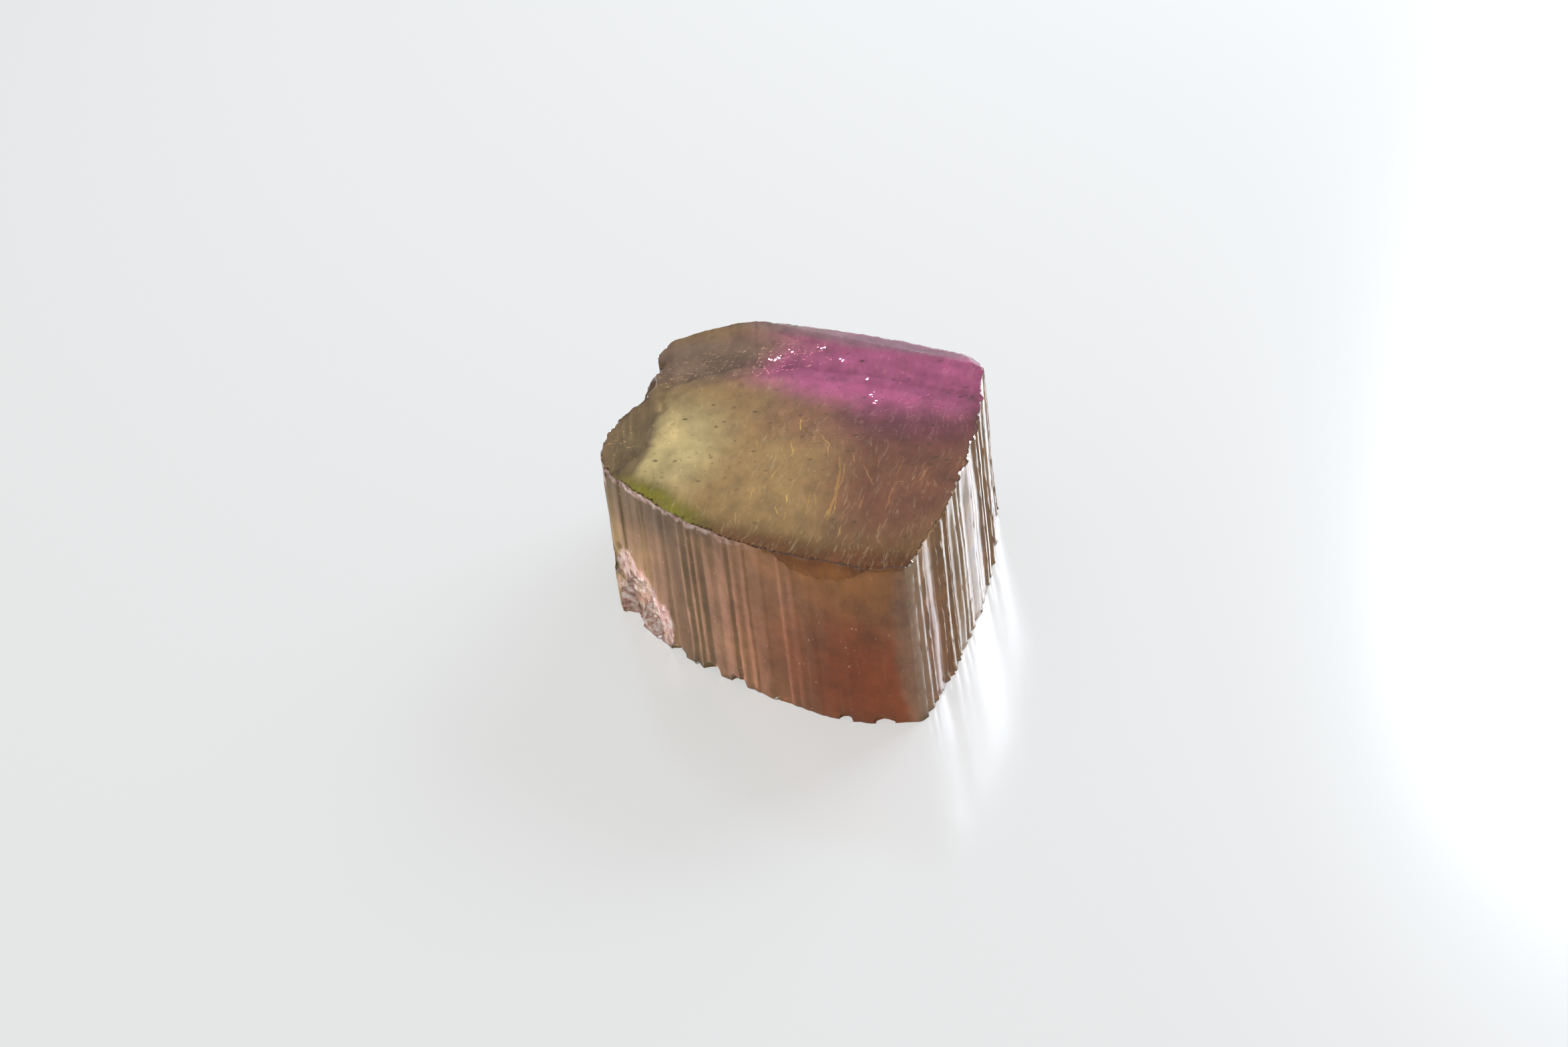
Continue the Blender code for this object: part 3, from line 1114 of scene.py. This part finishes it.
THREADS = (
    Thread(picked((925, 580), (915, 640), (900, 700), (870, 780)), width=0.11, depth=0.9),
    Thread(picked((1000, 585), (1015, 620), (1030, 660)), width=0.06),
    Thread(picked((962, 545), (965, 578)), width=0.05),
    Thread(picked((1110, 645), (1095, 690), (1075, 745)), width=0.06),
    Thread(picked((1235, 592), (1215, 610), (1200, 635), (1185, 650)), width=0.05),
    Thread(picked((920, 790), (918, 830)), width=0.06, depth=0.3),
    Thread(picked((748, 505), (757, 540), (745, 560)), width=0.05),
    Thread(picked((735, 690), (730, 718)), width=0.06),
    Thread(picked((712, 590), (690, 620), (675, 640)), width=0.05),
    Thread(picked((1055, 555), (1050, 600)), width=0.04),
    Thread(picked((1105, 645), (1150, 650)), width=0.04),
    Thread(picked((885, 730), (862, 770)), width=0.08, depth=0.6),
    Thread(picked((850, 480), (880, 520), (875, 560)), width=0.04),
    Thread(picked((780, 430), (785, 470)), width=0.04),
    Thread(picked((690, 730), (700, 760)), width=0.05),
    Thread(picked((1000, 690), (985, 740)), width=0.05),
    Thread(picked((1055, 790), (1052, 820)), width=0.05, depth=0.3),
    # The rest are listed between them, in mm.
    Thread(((1.42, -2.2), (1.26, -3.0), (1.05, -3.7)), width=0.05, depth=0.6),
    Thread(((1.2, -2.9), (0.98, -3.8), (0.8, -4.9), (0.5, -5.6)), width=0.04, depth=0.5),
    Thread(((1.05, -3.4), (0.82, -4.4), (0.62, -5.0)), width=0.06, depth=1.2),
    Thread(((1.3, -1.4), (1.28, -2.1), (1.18, -2.9)), width=0.04, depth=1.0),
    Thread(((0.2, -3.3), (0.1, -4.1), (-0.1, -4.9)), width=0.03, depth=1.3),
    Thread(((0.6, -2.9), (0.3, -3.7), (0.25, -4.4)), width=0.035, depth=1.6),
    Thread(((-1.5, -2.6), (-1.7, -3.3)), width=0.03, depth=0.8),
    Thread(((3.3, -2.2), (3.1, -2.9), (2.9, -3.4)), width=0.03, depth=0.7),
)
# The sparks are painted glints: small grains that glow, and no inclusions.
# Middles of the clusters of sparks in the pink, in mm in plan. The second is given in mm.
SPARKS = (
    *picked((712, 215)),
    (-0.25, 5.6),
    *picked((922, 230), (1012, 292), (1028, 345), (1035, 378), (745, 190), (860, 185)),
)


@dataclass(frozen=True)
class Scatter:
    """Grains or short fibres strewn through a part of the crystal.

    Attributes:
        count: how many.
        centre: middle of their place in plan, in mm.
        reach: half its length along x and y, in mm.
        depths: how far under the top they lie, in mm.
        size: their length, in mm, smallest and largest.
        slender: length to width.
        heading: the way that fibres run in plan, in degrees.
        spread: how far they stray from it, in degrees.
    """

    count: int
    centre: tuple[float, float]
    reach: tuple[float, float]
    depths: tuple[float, float]
    size: tuple[float, float]
    slender: float = 1.3
    heading: float = 75.0
    spread: float = 180.0


@dataclass
class Inclusions:
    """What is grown in the crystal, golden healed cracks and pale and dark grains, and bright sparks, which
    are painted glints: small grains in the pink that glow.

    Attributes:
        height: the crystal's top, in mm.
        slope: how far back a refracted line of sight goes, for each mm down.
        margin: how far inside the crystal an inclusion's middle lies at least, in mm.
        sides: of a thread's section.
        seed: of the draw.
        stray: how far a thread's points stray from its course, in mm.
        spark_count: fewest and most grains in a cluster of sparks, which are painted glints.
        spark_size, spark_depth: their radius and how far they lie under the top, in mm.
        spark_spread: how far they stray in x and y, in mm.
        gold, pale, dark, spark: the finishes.
        gold_fibres, pale_grains, dark_grains: what is strewn.
        inside: finds the nearest point of the crystal's surface.
        draw: the seeded draw.
    """

    height: float = TOP_HEIGHT
    slope: float = VIEW.refracted(TourmalineFinish.ior)
    margin: float = 0.12
    sides: int = 5
    seed: int = 23
    stray: float = 0.03
    spark_count: tuple[int, int] = (2, 6)
    spark_size: tuple[float, float] = (0.012, 0.045)
    spark_depth: float = 0.25
    spark_spread: tuple[float, float] = (0.07, 0.10)
    # The threads and the pale grains glow a little: painted light for the light that they catch through the
    # crystal.
    gold: InclusionFinish = InclusionFinish("healed_crack_gold", "#f0e6b0", glow=0.7)
    pale: InclusionFinish = InclusionFinish("included_grain_pale", "#ecdcc4", glow=0.8)
    dark: InclusionFinish = InclusionFinish("included_grain_dark", "#3a2a1a")
    # The sparks glow strongly: painted glints.
    spark: InclusionFinish = InclusionFinish("painted_glint_pink_white", "#fff0f8", glow=8.0)
    gold_fibres: tuple[Scatter, ...] = (
        Scatter(14, (0.6, -2.4), (2.6, 3.2), (0.8, 2.8), (0.2, 0.8), slender=30, heading=76, spread=16),
        Scatter(10, (-2.6, -0.4), (2.2, 2.6), (0.3, 1.8), (0.04, 0.12), slender=3, heading=80, spread=40),
    )
    pale_grains: tuple[Scatter, ...] = (
        Scatter(220, (-1.6, 6.0), (2.4, 1.0), (0.1, 1.2), (0.04, 0.2), slender=5, heading=35, spread=50),
        Scatter(26, (-5.6, 1.6), (0.5, 1.2), (0.1, 1.2), (0.05, 0.18), slender=3),
        Scatter(110, (2.9, 0.2), (2.6, 1.2), (0.05, 0.8), (0.05, 0.3), slender=12, heading=20, spread=70),
        Scatter(90, (0.4, 5.5), (1.3, 0.8), (0.05, 0.6), (0.03, 0.16), slender=3, heading=20, spread=90),
        Scatter(120, (0.0, 0.0), (6.0, 8.0), (0.05, 1.8), (0.03, 0.06)),
    )
    dark_grains: tuple[Scatter, ...] = (
        Scatter(120, (-1.2, 1.4), (4.0, 3.0), (0.05, 1.6), (0.03, 0.10), slender=1.6),
        Scatter(60, (2.6, 1.4), (3.0, 3.0), (0.05, 1.0), (0.03, 0.10), slender=1.6),
    )
    inside: BVHTree = field(init=False)
    draw: random.Random = field(init=False)

    def __post_init__(self) -> None:
        """Prepares the test for what lies inside and the seeded draw."""
        bm = bmesh.new()
        bm.from_mesh(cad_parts[NODE].data)
        self.inside = BVHTree.FromBMesh(bm)
        bm.free()
        self.draw = random.Random(self.seed)

    def under(self, x: float, y: float, depth: float) -> Vector:
        """Gives the place at a depth that the camera sees through a point of the top.

        Args:
            x: the point in plan, in mm.
            y: the same.
            depth: how far under the top, in mm.

        Returns:
            The place, in metres.
        """
        return Vector((x, y + self.slope * depth, self.height - depth)) * MM

    def holds(self, place: Vector) -> bool:
        """Tells if a place is well inside the crystal."""
        nearest, normal, _, away = self.inside.find_nearest(place)
        return (nearest - place).dot(normal) > 0 and away > self.margin * MM

    def thread(self, bm: bmesh.types.BMesh, thread: Thread) -> None:
        """Draws one thread, thin at its ends.

        Args:
            bm: the mesh that takes it.
            thread: its course and size.
        """
        course = [self.under(x, y, thread.depth) for x, y in thread.points]
        path = []
        for a, b in zip(course, course[1:]):
            path += [a.lerp(b, t / 4) for t in range(4)]
        path.append(course[-1])
        stray = self.stray
        path = [p + Vector([self.draw.uniform(-stray, stray) * MM for _ in range(3)]) for p in path]
        along = (path[1] - path[0]).to_track_quat("Z", "Y").to_matrix().to_4x4()
        ring = bmesh.ops.create_circle(
            bm,
            cap_ends=True,
            segments=self.sides,
            radius=0.1 * thread.width * MM,
            matrix=Matrix.Translation(path[0]) @ along,
        )
        face = ring["verts"][0].link_faces[0]
        for step, (a, b) in enumerate(zip(path, path[1:])):
            grown = bmesh.ops.extrude_face_region(bm, geom=[face])["geom"]
            face = next(g for g in grown if isinstance(g, bmesh.types.BMFace))
            verts = [g for g in grown if isinstance(g, bmesh.types.BMVert)]
            bmesh.ops.translate(bm, vec=b - a, verts=verts)
            now = math.sin(math.pi * (step + 1.3) / (len(path) + 0.6))
            before = math.sin(math.pi * (step + 0.3) / (len(path) + 0.6)) if step else 0.2
            size = max(0.12, now) / max(0.12, before)
            bmesh.ops.scale(bm, vec=(size,) * 3, verts=verts, space=Matrix.Translation(-b))

    def strew(self, bm: bmesh.types.BMesh, scatter: Scatter) -> None:
        """Strews grains or fibres inside the crystal.

        Args:
            bm: the mesh that takes them.
            scatter: how many, where and how large.
        """
        for _ in range(scatter.count):
            x = scatter.centre[0] + scatter.reach[0] * self.draw.uniform(-1, 1)
            y = scatter.centre[1] + scatter.reach[1] * self.draw.uniform(-1, 1)
            place = self.under(x, y, self.draw.uniform(*scatter.depths))
            length = self.draw.uniform(*scatter.size) * MM
            turn = math.radians(scatter.heading + scatter.spread * self.draw.uniform(-1, 1))
            tilt = self.draw.uniform(-0.5, 0.5)
            if not self.holds(place):
                continue
            width = 1 / scatter.slender
            shape = (
                Matrix.Translation(place)
                @ Matrix.Rotation(turn, 4, "Z")
                @ Matrix.Rotation(tilt, 4, "Y")
                @ Matrix.Diagonal((1.0, width, 0.7 * width, 1.0))
            )
            bmesh.ops.create_icosphere(bm, subdivisions=1, radius=0.5 * length, matrix=shape)

    def piece(
        self,
        name: str,
        finish: InclusionFinish,
        scatters: tuple[Scatter, ...],
        threads: tuple[Thread, ...] = (),
    ) -> bpy.types.Object:
        """Builds one kind of inclusion as one joined mesh.

        Args:
            name: the piece's name.
            finish: its finish.
            scatters: the grains or fibres in it.
            threads: the threads in it.

        Returns:
            The object.
        """
        bm = bmesh.new()
        for thread in threads:
            self.thread(bm, thread)
        for scatter in scatters:
            self.strew(bm, scatter)
        bmesh.ops.recalc_face_normals(bm, faces=bm.faces[:])
        log.info("%s: %d faces", name, len(bm.faces))
        return object_from(bm, name, finish.make())

    def sparks(self) -> None:
        """Builds the bright sparks, painted glints that glow, in small clusters."""
        bm = bmesh.new()
        for x, y in SPARKS:
            for _ in range(self.draw.randint(*self.spark_count)):
                size = self.draw.uniform(*self.spark_size) * MM
                aside = [self.draw.gauss(0.0, spread) for spread in self.spark_spread]
                middle = Matrix.Translation(self.under(x + aside[0], y + aside[1], self.spark_depth))
                shape = Matrix.Diagonal((self.draw.uniform(0.5, 1.5), self.draw.uniform(0.5, 1.5), 0.8, 1.0))
                bmesh.ops.create_icosphere(bm, subdivisions=1, radius=size, matrix=middle @ shape)
        log.info("pink_painted_glints: %d faces", len(bm.faces))
        object_from(bm, "pink_painted_glints", self.spark.make())

    def build(self) -> None:
        """Builds every kind of inclusion."""
        self.piece("golden_threads", self.gold, self.gold_fibres, THREADS)
        self.piece("pale_grains", self.pale, self.pale_grains)
        self.piece("dark_grains", self.dark, self.dark_grains)
        self.sparks()


@dataclass(frozen=True)
class Panel:
    """A soft light panel that faces the crystal.

    Attributes:
        name: its name.
        place: where it hangs, in mm.
        size: its width and height, in mm.
        radiance: how bright its surface is.
        colour: its tint, sRGB hex.
        target: height of the point over the origin that it faces, in mm.
    """

    name: str
    place: tuple[float, float, float]
    size: tuple[float, float]
    radiance: float
    colour: str = "#ffffff"
    target: float = 3.0

    def hang(self) -> None:
        """Adds the panel to the scene."""
        data = bpy.data.lights.new(self.name, "AREA")
        data.color = linear(self.colour)[:3]
        data.shape = "RECTANGLE"
        data.size = self.size[0] * MM
        data.size_y = self.size[1] * MM
        data.energy = self.radiance * math.pi * data.size * data.size_y
        lamp = bpy.data.objects.new(self.name, data)
        lamp.location = Vector(self.place) * MM
        towards = Vector((0, 0, self.target * MM)) - lamp.location
        lamp.rotation_euler = towards.to_track_quat("-Z", "Y").to_euler()
        bpy.context.scene.collection.objects.link(lamp)


@dataclass
class Stage:
    """A plain pale floor with a mild gloss, soft light from all round, and the camera.

    Attributes:
        lens, sensor: focal length and sensor width, in mm.
        floor_gap: how far under the crystal the floor lies, in mm.
        floor_half: half the floor's width, in metres.
        floor_colour, floor_sheen: colours of the floor and of its gloss.
        floor_glow, floor_strength: how much of the floor's look is its own light, and how bright that is.
        floor_gloss, floor_roughness: how much the floor mirrors, and how softly.
        card_glow, card_share: brightness of the card under the crystal, and its size as a share of the foot.
        world_colour, world_strength: of the surroundings.
        panels: the light panels.
    """

    lens: float = 69.0
    sensor: float = 36.0
    floor_gap: float = 0.02
    floor_half: float = 1.2
    floor_colour: str = "#e4e4e3"
    floor_sheen: str = "#f4f4f4"
    floor_glow: float = 0.80
    floor_strength: float = 0.91
    floor_gloss: float = 0.14
    floor_roughness: float = 0.20
    card_glow: float = 1.05
    card_share: float = 0.93
    world_colour: str = "#f0f1f1"
    world_strength: float = 0.45
    panels: tuple[Panel, ...] = (
        Panel("overhead", (-20, -10, 120), (160, 160), 0.6),
        Panel("back_right", (100, 95, 70), (110, 60), 20.0, "#e6f0ff"),
    )

    def floor(self) -> None:
        """Makes the floor."""
        bm = bmesh.new()
        bmesh.ops.create_grid(bm, x_segments=1, y_segments=1, size=self.floor_half)
        bmesh.ops.translate(bm, vec=(0, 0, -self.floor_gap * MM), verts=bm.verts[:])
        material, tree = new_material("pale_polished_sheet")
        dull = add_node(tree, "ShaderNodeBsdfDiffuse", {"Color": linear(self.floor_colour)})
        glow = add_node(
            tree, "ShaderNodeEmission", {"Color": linear(self.floor_colour), "Strength": self.floor_strength}
        )
        base = add_node(
            tree, "ShaderNodeMixShader", {0: self.floor_glow, 1: dull.outputs[0], 2: glow.outputs[0]}
        )
        gloss = add_node(
            tree,
            "ShaderNodeBsdfGlossy",
            {"Color": linear(self.floor_sheen), "Roughness": self.floor_roughness},
        )
        both = add_node(
            tree, "ShaderNodeMixShader", {0: self.floor_gloss, 1: base.outputs[0], 2: gloss.outputs[0]}
        )
        add_node(tree, "ShaderNodeOutputMaterial", {"Surface": both.outputs[0]})
        linked(bm, "floor", material)

    def card(self) -> None:
        """Lays a glowing card under the crystal, cut to its foot, so that light comes up through it."""
        bm = cad_copy()
        rest = [f for f in bm.faces if f.normal.z > -0.99 or f.calc_center_median().z > 0.01 * MM]
        bmesh.ops.delete(bm, geom=rest, context="FACES")
        bmesh.ops.reverse_faces(bm, faces=bm.faces[:])
        bmesh.ops.scale(bm, vec=(self.card_share, self.card_share, 1.0), verts=bm.verts[:])
        bmesh.ops.translate(bm, vec=(0, 0, -0.5 * self.floor_gap * MM), verts=bm.verts[:])
        material, tree = new_material("glowing_card")
        glow = add_node(
            tree, "ShaderNodeEmission", {"Color": linear(self.floor_colour), "Strength": self.card_glow}
        )
        add_node(tree, "ShaderNodeOutputMaterial", {"Surface": glow.outputs[0]})
        linked(bm, "light_card", material)

    def world(self) -> None:
        """Makes the even pale surroundings."""
        world = bpy.data.worlds.new("soft_box")
        world.use_nodes = True
        world.node_tree.nodes.clear()
        sky = add_node(
            world.node_tree,
            "ShaderNodeBackground",
            {"Color": linear(self.world_colour), "Strength": self.world_strength},
        )
        add_node(world.node_tree, "ShaderNodeOutputWorld", {"Surface": sky.outputs[0]})
        bpy.context.scene.world = world

    def camera(self) -> None:
        """Sets the camera at the photograph's angle."""
        right, up, back = VIEW.axes()
        data = bpy.data.cameras.new("camera")
        data.lens = self.lens
        data.sensor_width = self.sensor
        data.sensor_fit = "HORIZONTAL"
        data.clip_start = 0.002
        data.clip_end = 10.0
        camera = bpy.data.objects.new("camera", data)
        turned = Matrix((right, up, back)).transposed().to_4x4()
        distance = VIEW.focal * VIEW.pixel
        camera.matrix_world = Matrix.Translation((Vector(VIEW.aim) + back * distance) * MM) @ turned
        bpy.context.scene.collection.objects.link(camera)
        bpy.context.scene.camera = camera

    def build(self) -> None:
        """Builds the stage."""
        self.floor()
        self.card()
        self.world()
        for panel in self.panels:
            panel.hang()
        self.camera()
        bpy.context.scene.view_settings.view_transform = "Standard"
        bpy.context.scene.view_settings.look = "Medium High Contrast"


def main() -> None:
    """Builds every piece in order and reports it."""
    logging.basicConfig(level=logging.INFO)
    Crystal().build()
    Inclusions().build()
    Stage().build()


if __name__ == "__main__":
    main()
